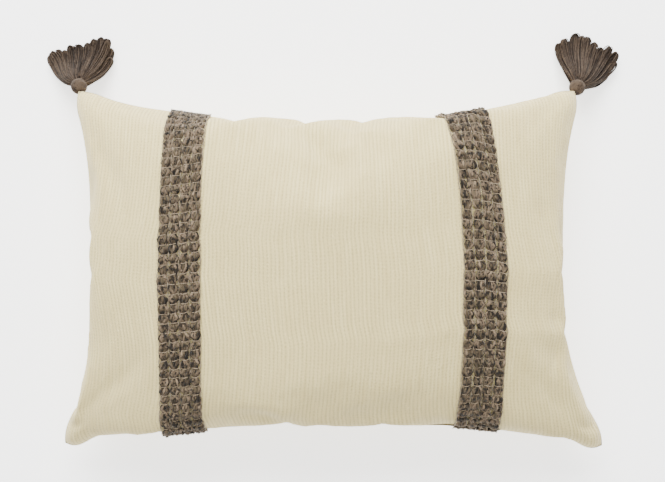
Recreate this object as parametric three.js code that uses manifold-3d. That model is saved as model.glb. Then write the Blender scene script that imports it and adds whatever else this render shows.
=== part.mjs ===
// A rectangular throw pillow lying on its back. Millimetres, +Z up, +X along the long side,
// +Y towards the two corners that carry tassels. z = 0 is the flat patch that it rests on.
import * as THREE from "three";
import { mergeVertices } from "three/addons/utils/BufferGeometryUtils.js";
import Module from "manifold-3d";

// Driving dimensions of the stuffed cover
const midHalfWidth = 216; // half the width, half-way up the short sides
const midHalfHeight = 137; // half the height, at the middle of the long sides
const upperEarWidth = 20; // how far an upper corner stands out past midHalfWidth
const lowerEarWidth = 38;
const upperEarHeight = 33; // how far a corner stands out past midHalfHeight
const lowerEarHeight = 19;
const lowerShoulder = 9; // the lower seam bows out this much before its ears
const cornerRadius = 16;
const seamHeight = 58; // the seam's height above the floor, at mid sides
const cornerDroop = 22; // how far a corner's tip sinks below that
const frontCrown = 76; // the front's rise above the seam
const backCrown = 66; // the back's drop below the seam, before the floor flattens it
const clothThickness = 1;
const seamGap = 0.2; // each cover half stops this far from the seam's plane

// The zip in the lower long seam
const zipHalfLength = 150;
const lipHeight = 5; // each lip of the opening stands this far from the seam's plane
const tapeThickness = 0.6;
const coilHeight = 1.7;
const sliderLength = 12;
const tabSetback = 2.8; // the tab's pivot, back from the slider's nose

// The insert, smaller than the cover all round
const casingInset = 9;
const casingCrownLoss = 3;
const fillInset = 12.5;

// The stripes: soft yarn bundles side by side over the front
const columnsPerStripe = 4;
const columnPitch = 9;
const stripeCentre = 132;
const yarnClearance = 0.9;
const yarnThickness = 4.2;

const columnsAcross = 24; // grid cells along X
const rowsUp = 20; // grid cells along Y

const cream = { color: 0xded6c0, roughness: 0.92, metalness: 0 };
const backCream = { color: 0xd9d0b8, roughness: 0.94, metalness: 0 };
const marledWool = { color: 0x8f8472, roughness: 0.97, metalness: 0 };
const taupeYarn = { color: 0x6f6152, roughness: 0.95, metalness: 0 };
const casingCloth = { color: 0xf0efec, roughness: 0.9, metalness: 0 };
const polyesterFibre = { color: 0xf8f8f6, roughness: 1, metalness: 0 };
const creamTape = { color: 0xe6dfcb, roughness: 0.85, metalness: 0 };
const creamNylon = { color: 0xe0d8c2, roughness: 0.5, metalness: 0 };
const nickel = { color: 0xb9b7b0, roughness: 0.35, metalness: 1 };

const wasm = await Module();
wasm.setup();
const pillow = new THREE.Group();

function add(name, geometry, look) {
  const mesh = new THREE.Mesh(geometry, new THREE.MeshStandardMaterial(look));
  mesh.name = name;
  pillow.add(mesh);
  return mesh;
}

function smooth(from, to, value) {
  const t = Math.min(1, Math.max(0, (value - from) / (to - from)));
  return t * t * (3 - 2 * t);
}

// A stuffed edge's profile: 1 in the middle of the cloth and 0 at the seam, where it is upright.
function bulge(t) {
  return Math.max(0, 1 - Math.abs(t) ** 2.4) ** 0.55;
}

// How much a rounded corner takes off an edge, at distance t along it.
function cornerCut(t, halfLength) {
  const start = 1 - cornerRadius / halfLength;
  const turned = Math.max(0, (Math.abs(t) - start) / (1 - start));
  return cornerRadius * (1 - Math.cos((turned * Math.PI) / 4));
}

function halfWidth(v, inset) {
  const ear = v > 0 ? upperEarWidth * v ** 3 : lowerEarWidth * Math.abs(v) ** 5;
  return midHalfWidth + ear - cornerCut(v, midHalfHeight) - inset;
}

function halfHeight(u, v, inset) {
  const along = Math.abs(u);
  const upper = upperEarHeight * along ** 2.4;
  const lower =
    2 + (lowerShoulder - 2) * smooth(0.7, 0.86, along) + lowerEarHeight * along ** 14;
  const upward = smooth(-1, 1, v);
  return midHalfHeight + lower * (1 - upward) + upper * upward - cornerCut(u, midHalfWidth) - inset;
}

// The zip's opening: 1 along the straight of the lower seam, 0 past its ends and up the cloth.
function lip(x, v) {
  const along = 1 - smooth(zipHalfLength + 6, zipHalfLength + 18, Math.abs(x));
  return v < 0 ? along * (1 - bulge(v)) ** 2 : 0;
}

// A point of a stuffed shell at (u, v), each from -1 to 1 across the cloth.
// side is 1 for the front and -1 for the back. inset moves it inwards, and loss lowers its crown.
function shellPoint(u, v, side, { inset = 0, loss = 0, open = 0, floor = 0, round = 0 } = {}) {
  const softened = round * Math.abs(u * v) ** 8;
  const x = u * (halfWidth(v, inset) - softened);
  const y = v * (halfHeight(u, v, inset) - softened);
  const towardsCorner = Math.abs((x / halfWidth(v, 0)) * (y / halfHeight(u, v, 0)));
  const seam = seamHeight - cornerDroop * towardsCorner ** 5;
  const crown = (side > 0 ? frontCrown : backCrown) - loss;
  const rise = seamGap + open * lip(x, v) + crown * bulge(u) * bulge(v);
  return new THREE.Vector3(x, y, Math.max(floor, seam + side * rise));
}

// Stations from -1 to 1, closer together near the ends, where the cloth turns down.
function stations(count) {
  return Array.from({ length: count + 1 }, (_, i) => Math.sin((i / count - 0.5) * Math.PI));
}

function closedMesh(points, triangles) {
  const geometry = new THREE.BufferGeometry();
  geometry.setAttribute(
    "position",
    new THREE.Float32BufferAttribute(points.flatMap((p) => [p.x, p.y, p.z]), 3),
  );
  geometry.setIndex(triangles.flat());
  const flat = geometry.toNonIndexed();
  flat.computeVertexNormals();
  return flat;
}

// One solid between two grids of points with the same rows, closed along all four sides.
function betweenGrids(outer, inner) {
  const rows = outer.length;
  const columns = outer[0].length;
  const points = [...outer.flat(), ...inner.flat()];
  const out = (j, i) => j * columns + i;
  const into = (j, i) => rows * columns + out(j, i);
  const triangles = [];
  const quad = (a, b, c, d) => triangles.push([a, b, c], [a, c, d]);
  for (let j = 0; j < rows - 1; j++)
    for (let i = 0; i < columns - 1; i++) {
      quad(out(j, i), out(j, i + 1), out(j + 1, i + 1), out(j + 1, i));
      quad(into(j, i), into(j + 1, i), into(j + 1, i + 1), into(j, i + 1));
    }
  for (let i = 0; i < columns - 1; i++) {
    quad(into(0, i), into(0, i + 1), out(0, i + 1), out(0, i));
    quad(out(rows - 1, i), out(rows - 1, i + 1), into(rows - 1, i + 1), into(rows - 1, i));
  }
  for (let j = 0; j < rows - 1; j++) {
    quad(into(j + 1, 0), into(j, 0), out(j, 0), out(j + 1, 0));
    quad(out(j + 1, columns - 1), out(j, columns - 1), into(j, columns - 1), into(j + 1, columns - 1));
  }
  return closedMesh(points, triangles);
}

// The grid of a shell. The back's columns run the other way, so that its faces point down.
function shellGrid(side, options, across = columnsAcross, up = rowsUp) {
  return stations(up).map((v) =>
    stations(across).map((u) => shellPoint(side > 0 ? u : -u, v, side, options)),
  );
}

function shell(side, outerOptions, innerOptions, across, up) {
  return betweenGrids(
    shellGrid(side, outerOptions, across, up),
    shellGrid(side, innerOptions, across, up),
  );
}

function buildCover() {
  const outer = { open: lipHeight };
  const inner = { open: lipHeight, inset: clothThickness, loss: clothThickness };
  add("cover_front", shell(1, outer, inner), cream);
  add("cover_back", shell(-1, outer, { ...inner, floor: clothThickness }), backCream);
}

function buildInsert() {
  const outer = { inset: casingInset, loss: casingCrownLoss, floor: 2, round: 14 };
  const inner = { ...outer, inset: casingInset + 0.6, loss: casingCrownLoss + 0.6, floor: 2.6 };
  add("insert_casing_front", shell(1, outer, inner, 20, 14), casingCloth);
  add("insert_casing_back", shell(-1, outer, inner, 20, 14), casingCloth);
  const fill = { inset: fillInset, loss: casingCrownLoss + 4, floor: 5, round: 17 };
  const top = shellGrid(1, fill, 20, 14);
  const bottom = shellGrid(-1, fill, 20, 14).map((row) => row.toReversed());
  add("fibre_fill", betweenGrids(top, bottom), polyesterFibre);
}

// A yarn column: a soft strip that follows the front from the lower seam to the upper one.
function yarnColumn(centre) {
  const half = columnPitch / 2 - 0.25;
  const across = [-half, -half * 0.95, -half * 0.5, half * 0.5, half * 0.95, half];
  const heights = [0.1, 0.62, 1, 1, 0.62, 0.1].map((h) => h * yarnThickness);
  const rows = stations(rowsUp).filter((v) => Math.abs(v) < 0.999);
  const onFront = (u, v) => shellPoint(u, v, 1, { open: lipHeight });
  const place = (v, offset, height) => {
    const u = (centre + offset) / halfWidth(v, 0);
    const step = Math.min(0.004, (1 - Math.abs(v)) / 2);
    const alongX = onFront(u + 0.01, v).sub(onFront(u - 0.01, v));
    const alongY = onFront(u, v + step).sub(onFront(u, v - step));
    const normal = alongX.cross(alongY).normalize();
    return onFront(u, v).addScaledVector(normal, yarnClearance + height);
  };
  const top = rows.map((v) => across.map((x, i) => place(v, x, heights[i])));
  const under = rows.map((v) => across.map((x) => place(v, x, 0)));
  return betweenGrids(top, under);
}

function buildStripe(name, centre) {
  for (let i = 0; i < columnsPerStripe; i++) {
    const offset = (i - (columnsPerStripe - 1) / 2) * columnPitch;
    add(`${name}_yarn_${i + 1}`, yarnColumn(centre + offset), marledWool);
  }
}

function block(name, [x0, x1], [y0, y1], [z0, z1], look) {
  const geometry = new THREE.BoxGeometry(x1 - x0, y1 - y0, z1 - z0);
  geometry.translate((x0 + x1) / 2, (y0 + y1) / 2, (z0 + z1) / 2);
  return add(name, geometry, look);
}

// A flat piece cut to an outline in X and Z, of even thickness along Y from y0 to y1.
function plate(outline, [y0, y1], holes = []) {
  const shape = new THREE.Shape(outline.map(([x, z]) => new THREE.Vector2(x, z)));
  shape.holes = holes.map((hole) => new THREE.Path(hole.map(([x, z]) => new THREE.Vector2(x, z))));
  const geometry = new THREE.ExtrudeGeometry(shape, { depth: y1 - y0, bevelEnabled: false });
  return geometry.rotateX(Math.PI / 2).translate(0, y1, 0);
}

function buildZip() {
  const z = seamHeight;
  const seamLine = -(midHalfHeight + 2); // the lower seam along its straight
  const tape = [seamLine + 6.6, seamLine + 6.6 + tapeThickness];
  const coil = [seamLine + 4.8, seamLine + 6.3];
  const closedEnd = 132; // the coil stops here, where the closed slider's nose stands
  const coilSpan = [-zipHalfLength + 8, closedEnd];
  const tapeSpan = [-zipHalfLength, zipHalfLength];
  block("zip_tape_front", tapeSpan, tape, [z + 1, z + 12], creamTape);
  block("zip_tape_back", tapeSpan, tape, [z - 12, z - 1], creamTape);
  block("zip_coil_front", coilSpan, coil, [z + 0.15, z + 0.15 + coilHeight], creamNylon);
  block("zip_coil_back", coilSpan, coil, [z - 0.15 - coilHeight, z - 0.15], creamNylon);
  block("zip_bottom_stop", [-zipHalfLength + 3, -zipHalfLength + 7], coil, [z - 2.2, z + 2.2], nickel);
  block("zip_top_stop", [zipHalfLength - 4, zipHalfLength - 1], coil, [z - 2.2, z + 2.2], nickel);
  const sliderStart = closedEnd + 0.6;
  add("zip_slider", zipSlider(sliderStart, z, seamLine), nickel);
  add("zip_pull_tab", pullTab(sliderStart, z, seamLine), nickel);
}

// Several closed geometries as one solid.
function joined(geometries) {
  const solids = geometries.map((geometry) => {
    geometry.deleteAttribute("normal");
    geometry.deleteAttribute("uv");
    const merged = mergeVertices(geometry, 1e-4);
    const vertProperties = merged.attributes.position.array;
    const triVerts = new Uint32Array(merged.index.array);
    return new wasm.Manifold(new wasm.Mesh({ numProp: 3, vertProperties, triVerts }));
  });
  const whole = solids.reduce((sum, solid) => sum.add(solid)).getMesh();
  const geometry = new THREE.BufferGeometry();
  geometry.setAttribute("position", new THREE.BufferAttribute(whole.vertProperties, 3));
  geometry.setIndex(new THREE.BufferAttribute(whole.triVerts, 1));
  return geometry;
}

// The slider's outer plate, wide at its nose and narrow at its tail, with two lugs for the tab.
function zipSlider(start, z, seamLine) {
  const end = start + sliderLength;
  const hinge = end - tabSetback;
  const lug = (side) =>
    new THREE.BoxGeometry(2.6, 3.2, 0.9).translate(hinge, seamLine + 1.7, z + side * 2.4);
  const outline = [
    [start, z - 2.8],
    [end - 3, z - 4],
    [end, z - 2.6],
    [end, z + 2.6],
    [end - 3, z + 4],
    [start, z + 2.8],
  ];
  return joined([plate(outline, [seamLine + 2.2, seamLine + 4.4]), lug(1), lug(-1)]);
}

// The tab lies along the zip over its slider, and narrows towards the slider's post.
function pullTab(start, z, seamLine) {
  const hinge = start + sliderLength - tabSetback + 0.8;
  const outline = [
    [hinge, z - 1.6],
    [hinge, z + 1.6],
    [hinge - 8, z + 2.2],
    [hinge - 20, z + 3],
    [hinge - 23, z + 1.8],
    [hinge - 23, z - 1.8],
    [hinge - 20, z - 3],
    [hinge - 8, z - 2.2],
  ];
  const slot = [
    [hinge - 17, z - 1.2],
    [hinge - 20.5, z - 1.2],
    [hinge - 20.5, z + 1.2],
    [hinge - 17, z + 1.2],
  ];
  return plate(outline, [seamLine + 0.4, seamLine + 1.8], [slot]);
}

// A closed surface of revolution about its own X axis: [distance along, radius] from end to end.
function turned(profile, facets = 16) {
  const points = profile.map(([along, radius]) => new THREE.Vector2(radius, along));
  return new THREE.LatheGeometry(points, facets).rotateZ(-Math.PI / 2);
}

const ball = (centre, radius, steps = 10) =>
  Array.from({ length: steps + 1 }, (_, i) => {
    const angle = Math.PI * (i / steps);
    return [centre - radius * Math.cos(angle), i % steps ? radius * Math.sin(angle) : 0];
  });

// A tassel along its own +X, from the cord loop in the corner to the fan of looped yarn.
// flatten squeezes the lying skirt, which spreads on the floor, to its thickness over its width.
const tasselShape = {
  loopRadius: 1.3,
  cordRadius: 0.5,
  headRadius: 7.8,
  neckRadius: 5.2,
  skirtLength: 31,
  skirtRadius: 27,
  flatten: 0.42,
};

function tasselPieces(name, corner, heading, spread) {
  const t = tasselShape;
  const headCentre = t.loopRadius + t.cordRadius + 0.3 + t.headRadius;
  const neck = headCentre + t.headRadius + 0.3;
  const skirt = neck + 2.5;
  const end = skirt + t.skirtLength;
  const radius = t.skirtRadius * spread;
  const loop = new THREE.TorusGeometry(t.loopRadius, t.cordRadius, 8, 16);
  const pieces = {
    loop: loop.rotateX(Math.PI / 2),
    head: turned(ball(headCentre, t.headRadius)),
    neck_wrap: turned([
      [neck, 0],
      [neck, t.neckRadius - 0.8],
      [neck + 1.1, t.neckRadius],
      [neck + 2.2, t.neckRadius - 0.8],
      [neck + 2.2, 0],
    ]),
    skirt: turned(
      [
        [skirt, 0],
        [skirt, t.neckRadius - 0.6],
        [skirt + 5, radius * 0.55],
        [skirt + t.skirtLength * 0.55, radius * 0.9],
        [end - 6, radius],
        [end - 1.5, radius * 0.86],
        [end, radius * 0.6],
        [end, 0],
      ],
      20,
    ).scale(1, 1, t.flatten),
  };
  for (const [piece, geometry] of Object.entries(pieces)) {
    const mesh = add(`${name}_${piece}`, geometry, taupeYarn);
    mesh.rotation.set(0, heading.dip, heading.turn, "ZYX");
    mesh.position.copy(corner);
  }
}

function buildTassels() {
  const z = seamHeight - cornerDroop;
  const dip = THREE.MathUtils.degToRad(32);
  const leftCorner = new THREE.Vector3(-232.2, 167.3, z);
  const rightCorner = new THREE.Vector3(232.2, 167.3, z);
  const leftTurn = THREE.MathUtils.degToRad(100);
  const rightTurn = THREE.MathUtils.degToRad(68);
  tasselPieces("tassel_left", leftCorner, { turn: leftTurn, dip }, 1.1);
  tasselPieces("tassel_right", rightCorner, { turn: rightTurn, dip }, 1);
}

buildCover();
buildInsert();
buildStripe("stripe_left", -stripeCentre);
buildStripe("stripe_right", stripeCentre);
buildZip();
buildTassels();

export default pillow;
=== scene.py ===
import math

import bpy
import numpy as np
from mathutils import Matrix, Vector


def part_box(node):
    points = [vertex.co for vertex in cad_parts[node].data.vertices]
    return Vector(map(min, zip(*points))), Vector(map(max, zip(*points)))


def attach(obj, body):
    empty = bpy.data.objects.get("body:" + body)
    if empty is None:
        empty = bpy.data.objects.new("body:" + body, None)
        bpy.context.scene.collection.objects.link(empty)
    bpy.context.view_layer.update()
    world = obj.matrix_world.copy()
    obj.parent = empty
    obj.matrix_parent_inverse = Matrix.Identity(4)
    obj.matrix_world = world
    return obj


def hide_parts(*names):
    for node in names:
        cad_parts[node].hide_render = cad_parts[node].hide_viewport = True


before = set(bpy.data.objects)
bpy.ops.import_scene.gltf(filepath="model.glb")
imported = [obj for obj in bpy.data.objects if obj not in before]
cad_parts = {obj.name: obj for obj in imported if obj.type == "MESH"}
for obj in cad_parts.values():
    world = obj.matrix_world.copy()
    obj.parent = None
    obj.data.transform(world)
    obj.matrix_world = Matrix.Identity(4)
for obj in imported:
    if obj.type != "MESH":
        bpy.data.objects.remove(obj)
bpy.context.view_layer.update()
mm = 0.001

# The stuffed cover. Heights are above the surface it rests on.
cover = {
    "flatWidth": 0.508,
    "flatHeight": 0.356,
    "seamHeight": 0.058,
    "cornerDroop": 0.022,
    "cornerRadius": 0.026,
    "leanIn": 1.08,  # the share by which the cloth draws in from its seam, for each metre of rise
    "frontCrown": 0.0745,  # how far the front rises above the seam
    "backCrown": 0.0572,
    "fillVolume": 0.0115,  # what the filling presses the cloth out to, in cubic metres
    "ribs": 145,
    "ribPitch": 3.5 * mm,
    "ribHeight": 0.3 * mm,
    "slubs": 520,  # thick places in the hand-spun thread
    "allowance": 8 * mm,  # cloth turned in behind the seam
}
# How the flat cover is blown up. The first of each pair of counts is for a quick picture.
stuffing = {
    "cells": ((36, 25), (72, 50)),
    "frames": (45, 60),
    "startHeight": 0.07,
    "startSwell": 0.03,
    "pointMass": 0.02,
    "stretch": 30,
    "shear": 8,
    "bending": 0.3,
    "pressure": 4,
    "gravity": 0.1,
}
# Each side of the seam line: its middle, how far its ends stand out, and how sharply.
seam = {
    "left": {"mid": 0.2174, "upper": 0.024, "upperPower": 3.7, "lower": 0.0365, "lowerPower": 3.4},
    "right": {"mid": 0.2149, "upper": 0.0235, "upperPower": 3.5, "lower": 0.049, "lowerPower": 2.6},
    "top": {"mid": 0.1385, "rise": 0.0175, "ear": 0.022, "power": 8, "dip": 0.003},
    "bottom": {"mid": 0.1395, "rise": 0.0095, "ear": 0.019, "earFrom": 0.855, "earTo": 0.975},
    "drawn": 0.45,  # the share of the cloth's own waves along the seam that is taken out
}
crease = {"below": 0.150, "inset": 0.014, "halfLength": 0.011, "halfWidth": 5 * mm, "depth": 2.2 * mm}
zipper = {"halfLength": 0.150, "tabFrom": 0.117, "tabTo": 0.153, "gap": 1.0 * mm, "tabGap": 9.4 * mm}


def smooth(low, high, value):
    t = np.clip((value - low) / (high - low), 0, 1)
    return t * t * (3 - 2 * t)


def newObject(name, mesh):
    made = bpy.data.objects.new(name, mesh)
    bpy.context.scene.collection.objects.link(made)
    return made


def gridFaces(rows, columns, flip=False):
    corner = (np.arange(rows - 1)[:, None] * columns + np.arange(columns - 1)).ravel()
    quads = np.stack([corner, corner + 1, corner + columns + 1, corner + columns], axis=1)
    return quads[:, ::-1] if flip else quads


def meshFrom(name, points, quads, uv=None):
    mesh = bpy.data.meshes.new(name)
    mesh.from_pydata(points.reshape(-1, 3).tolist(), [], quads.tolist())
    mesh.polygons.foreach_set("use_smooth", np.ones(len(mesh.polygons), bool))
    if uv is not None:
        layer = mesh.uv_layers.new(name="weave")
        corners = np.empty(len(mesh.loops), np.int32)
        mesh.loops.foreach_get("vertex_index", corners)
        layer.data.foreach_set("uv", uv.reshape(-1, 2)[corners].ravel().astype(np.float32))
    mesh.update()
    return mesh


def cubicMatrix(count, places):
    whole = np.clip(np.floor(places).astype(int), 0, count - 2)
    f = places - whole
    weights = [
        -0.5 * f + f**2 - 0.5 * f**3,
        1 - 2.5 * f**2 + 1.5 * f**3,
        0.5 * f + 2 * f**2 - 1.5 * f**3,
        -0.5 * f**2 + 0.5 * f**3,
    ]
    matrix = np.zeros((len(places), count))
    for step, weight in enumerate(weights):
        np.add.at(matrix, (np.arange(len(places)), np.clip(whole + step - 1, 0, count - 1)), weight)
    return matrix


def resampled(grid, rowPlaces, columnPlaces):
    down = cubicMatrix(grid.shape[0], rowPlaces)
    across = cubicMatrix(grid.shape[1], columnPlaces)
    return np.einsum("rj,jik,ci->rck", down, grid, across)


def softNoise(rng, shape, cells):
    coarse = rng.uniform(-1, 1, (cells[0] + 1, cells[1] + 1, 1))
    rows = np.linspace(0, cells[0], shape[0])
    columns = np.linspace(0, cells[1], shape[1])
    return resampled(coarse, rows, columns)[..., 0]


def normalsOf(grid):
    along = np.gradient(grid, axis=1)
    up = np.gradient(grid, axis=0)
    found = np.cross(along, up)
    return found / np.maximum(np.linalg.norm(found, axis=-1, keepdims=True), 1e-12)


def sewnFaces(rows, columns):
    # Two grids that share their border: the lower one has only its inner points to itself.
    upper = np.arange(rows * columns).reshape(rows, columns)
    lower = upper.copy()
    lower[1:-1, 1:-1] = rows * columns + np.arange((rows - 2) * (columns - 2)).reshape(rows - 2, -1)
    top, under = (
        np.stack([g[:-1, :-1], g[:-1, 1:], g[1:, 1:], g[1:, :-1]], axis=-1).reshape(-1, 4)
        for g in (upper, lower)
    )
    return upper, lower, np.concatenate([top, under[:, ::-1]])


def stuffedCloth():
    full = 1
    across, up = stuffing["cells"][full]
    lastFrame = stuffing["frames"][full]
    columns, rows = across + 1, up + 1
    u = np.linspace(-1, 1, columns)[None, :]
    v = np.linspace(-1, 1, rows)[:, None]
    swell = stuffing["startSwell"] * np.sqrt(np.maximum(1 - u**2, 0) * np.maximum(1 - v**2, 0))
    x = np.broadcast_to(u * cover["flatWidth"] / 2, swell.shape)
    y = np.broadcast_to(v * cover["flatHeight"] / 2, swell.shape)
    top = np.stack([x, y, stuffing["startHeight"] + swell], axis=-1)
    under = np.stack([x, y, stuffing["startHeight"] - swell], axis=-1)[1:-1, 1:-1]
    upper, lower, quads = sewnFaces(rows, columns)
    points = np.concatenate([top.reshape(-1, 3), under.reshape(-1, 3)])
    cloth = newObject("cloth", meshFrom("cloth", points, quads))
    bpy.ops.mesh.primitive_plane_add(size=3)
    table = bpy.context.object
    table.modifiers.new("touch", "COLLISION")
    table.collision.thickness_outer = 0.001
    table.collision.cloth_friction = 5
    modifier = cloth.modifiers.new("fill", "CLOTH")
    settings = modifier.settings
    settings.quality = 8
    settings.mass = stuffing["pointMass"]
    settings.tension_stiffness = settings.compression_stiffness = stuffing["stretch"]
    settings.shear_stiffness = stuffing["shear"]
    settings.bending_stiffness = stuffing["bending"]
    settings.air_damping = 3
    settings.use_pressure = settings.use_pressure_volume = True
    settings.uniform_pressure_force = stuffing["pressure"]
    settings.target_volume = cover["fillVolume"]
    settings.effector_weights.gravity = stuffing["gravity"]
    modifier.collision_settings.distance_min = 0.001
    modifier.collision_settings.use_self_collision = False
    modifier.point_cache.frame_end = lastFrame
    scene = bpy.context.scene
    scene.frame_start, scene.frame_end = 1, lastFrame
    for step in range(1, lastFrame + 1):
        scene.frame_set(step)
    settled = cloth.evaluated_get(bpy.context.evaluated_depsgraph_get()).to_mesh()
    found = np.empty(len(settled.vertices) * 3)
    settled.vertices.foreach_get("co", found)
    found = found.reshape(-1, 3)
    front, back = found[upper], found[lower]
    scene.frame_set(1)
    for made in (cloth, table):
        bpy.data.objects.remove(made)
    return relaxed(front), relaxed(back)


def relaxed(grid, rounds=3):
    for _ in range(rounds):
        inner = grid[1:-1, 1:-1]
        beside = grid[:-2, 1:-1] + grid[2:, 1:-1] + grid[1:-1, :-2] + grid[1:-1, 2:]
        grid[1:-1, 1:-1] = 0.6 * inner + 0.1 * beside
    return grid


def sideOut(side, v):
    upper = side["upper"] * np.maximum(v, 0) ** side["upperPower"]
    lower = side["lower"] * np.maximum(-v, 0) ** side["lowerPower"]
    return side["mid"] + upper + lower


def seamPoint(u, v):
    left, right = sideOut(seam["left"], v), sideOut(seam["right"], v)
    x = np.where(u < 0, u * left, u * right)
    along = np.abs(u)
    top, bottom = seam["top"], seam["bottom"]
    climb = np.where(u < 0, 1, 1 + 0.35 * smooth(0.55, 0.8, u))
    topRise = top["rise"] * climb * (np.sqrt(u**2 + 0.01) - 0.1)
    topRise = topRise + top["ear"] * along ** top["power"] / climb
    topRise = topRise - top["dip"] * np.exp(-(((along - 0.43) / 0.15) ** 2))
    shoulder = np.where(u < 0, smooth(0.25, 0.75, along), 1.25 * smooth(0.4, 0.85, along))
    ear = smooth(bottom["earFrom"], bottom["earTo"], along)
    bottomRise = bottom["rise"] * shoulder + bottom["ear"] * ear
    y = np.where(v > 0, v * (top["mid"] + topRise), v * (bottom["mid"] + bottomRise))
    z = cover["seamHeight"] - cover["cornerDroop"] * np.abs(u * v) ** 5
    return np.stack(np.broadcast_arrays(x, y, z), axis=-1)


def blurred(line, width):
    reach = int(width * 3)
    kernel = np.exp(-0.5 * (np.arange(-reach, reach + 1) / width) ** 2)
    kernel /= kernel.sum()
    ends = [2 * line[:1] - line[reach:0:-1], line, 2 * line[-1:] - line[-2 : -reach - 2 : -1]]
    padded = np.concatenate(ends)
    return np.stack([np.convolve(padded[:, k], kernel, "valid") for k in range(3)], axis=1)


def cornerCut(distance):
    # What a rounded corner takes off an edge, at a distance from the corner along it.
    radius = cover["cornerRadius"]
    turned = np.clip(1 - distance / radius, 0, 1)
    return radius * (1 - np.cos(turned * math.pi / 4))


def coons(bottom, top, left, right):
    # The smooth patch that is hung between four edge lines.
    a = np.linspace(0, 1, len(bottom))[None, :, None]
    b = np.linspace(0, 1, len(left))[:, None, None]
    across = (1 - a) * left[:, None] + a * right[:, None]
    upward = (1 - b) * bottom[None] + b * top[None]
    low = (1 - a) * bottom[0] + a * bottom[-1]
    high = (1 - a) * top[0] + a * top[-1]
    return across + upward - (1 - b) * low - b * high


def fitted(grid, edge, side):
    # Moves a blown-up grid so that its seam runs along the seam line, and keeps its own folds.
    rows, columns = grid.shape[:2]
    u = np.linspace(-1, 1, columns)
    v = np.linspace(-1, 1, rows)
    goal = [seamPoint(u, -1.0), seamPoint(u, 1.0), seamPoint(-1.0, v), seamPoint(1.0, v)]
    found = [edge[0], edge[-1], edge[:, 0], edge[:, -1]]
    moves = []
    for target, line in zip(goal, found):
        gap = target - line
        straight = gap[0] + (gap[-1] - gap[0]) * np.linspace(0, 1, len(gap))[:, None]
        waves = gap - straight
        move = straight + seam["drawn"] * waves + (1 - seam["drawn"]) * blurred(waves, len(gap) / 24)
        move[0], move[-1] = gap[0], gap[-1]
        moves.append(move)
    out = grid + coons(*moves)
    lift = grid[..., 2] - coons(*found)[..., 2]
    crown = cover["frontCrown"] if side > 0 else cover["backCrown"]
    out[..., 2] = seamPoint(u[None, :], v[:, None])[..., 2] + lift * crown / np.abs(lift).max()
    fromSide = (1 - np.abs(u)) * cover["flatWidth"] / 2
    fromEnd = (1 - np.abs(v)) * cover["flatHeight"] / 2
    out[..., 0] -= u[None, :] * cornerCut(fromEnd)[:, None]
    out[..., 1] -= v[:, None] * cornerCut(fromSide)[None, :]
    leaning = 1 - cover["leanIn"] * np.maximum(out[..., 2] - cover["seamHeight"], 0)
    heldIn(out[..., 0], out[:, :1, 0] * leaning, out[:, -1:, 0] * leaning)
    heldIn(out[..., 1], out[:1, :, 1] * leaning, out[-1:, :, 1] * leaning)
    return out


def heldIn(values, low, high):
    # Takes back most of what leans out past the seam, so that the sides stay nearly upright.
    past = np.maximum(values - high, 0) - np.maximum(low - values, 0)
    values -= 0.92 * past


def lipGap(x, v):
    # Half the zip's opening between its two lips: a little all along, and more at the tab.
    along = 1 - smooth(zipper["halfLength"], zipper["halfLength"] + 0.014, np.abs(x))
    tab = smooth(zipper["tabFrom"] - 0.012, zipper["tabFrom"], x)
    tab = tab * (1 - smooth(zipper["tabTo"], zipper["tabTo"] + 0.012, x))
    near = np.clip((-v - 0.86) / 0.14, 0, 1) ** 3
    return along * near * (zipper["gap"] + (zipper["tabGap"] - zipper["gap"]) * tab) / 2


def ribRelief(rng, s, t):
    # The upright ribs of the weave, with the wander and thick places of hand-spun thread.
    shape = s.shape
    sway = 0.35 * mm * softNoise(rng, shape, (10, 46))
    phase = (s + sway) / cover["ribPitch"]
    place = 2 * (phase - np.floor(phase)) - 1
    strength = 0.85 + 0.3 * softNoise(rng, shape, (24, cover["ribs"]))
    relief = cover["ribHeight"] * strength * np.sqrt(1 - 0.96 * place**2)
    halfRibs = cover["ribs"] // 2
    for _ in range(cover["slubs"]):
        s0 = (math.floor(rng.uniform(-halfRibs, halfRibs)) + 0.5) * cover["ribPitch"]
        t0 = rng.uniform(-0.5, 0.5) * cover["flatHeight"]
        length, width = rng.uniform(1.5, 5) * mm, rng.uniform(0.6, 1.1) * mm
        near = np.abs(s[0] - s0) < 4 * width
        tall = np.abs(t[:, 0] - t0) < 4 * length
        window = np.ix_(tall, near)
        bump = np.exp(-(((s[window] - s0) / width) ** 2) - ((t[window] - t0) / length) ** 2)
        relief[window] += rng.uniform(0.25, 0.7) * mm * bump
    return relief


def seamPucker(rng, s, t):
    # Shallow gathers that run in from the stitching.
    fromSide = cover["flatWidth"] / 2 - np.abs(s)
    fromEnd = cover["flatHeight"] / 2 - np.abs(t)
    depth, spacing, reach = 0.35 * mm, 0.0062, 0.009
    alongSide = np.sin(t / spacing + 2.5 * softNoise(rng, s.shape, (30, 3)))
    alongEnd = np.sin(s / spacing + 2.5 * softNoise(rng, s.shape, (3, 40)))
    return depth * (alongSide * np.exp(-fromSide / reach) + alongEnd * np.exp(-fromEnd / reach))


def cornerCrease(s, t):
    # A short crease in from each side, where a lower corner's fullness folds.
    fromSide = cover["flatWidth"] / 2 - np.abs(s)
    past = (t + crease["below"]) / crease["halfWidth"]
    inwards = (fromSide - crease["inset"]) / crease["halfLength"]
    return crease["depth"] * np.exp(-(past**2) - inwards**2)


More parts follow.
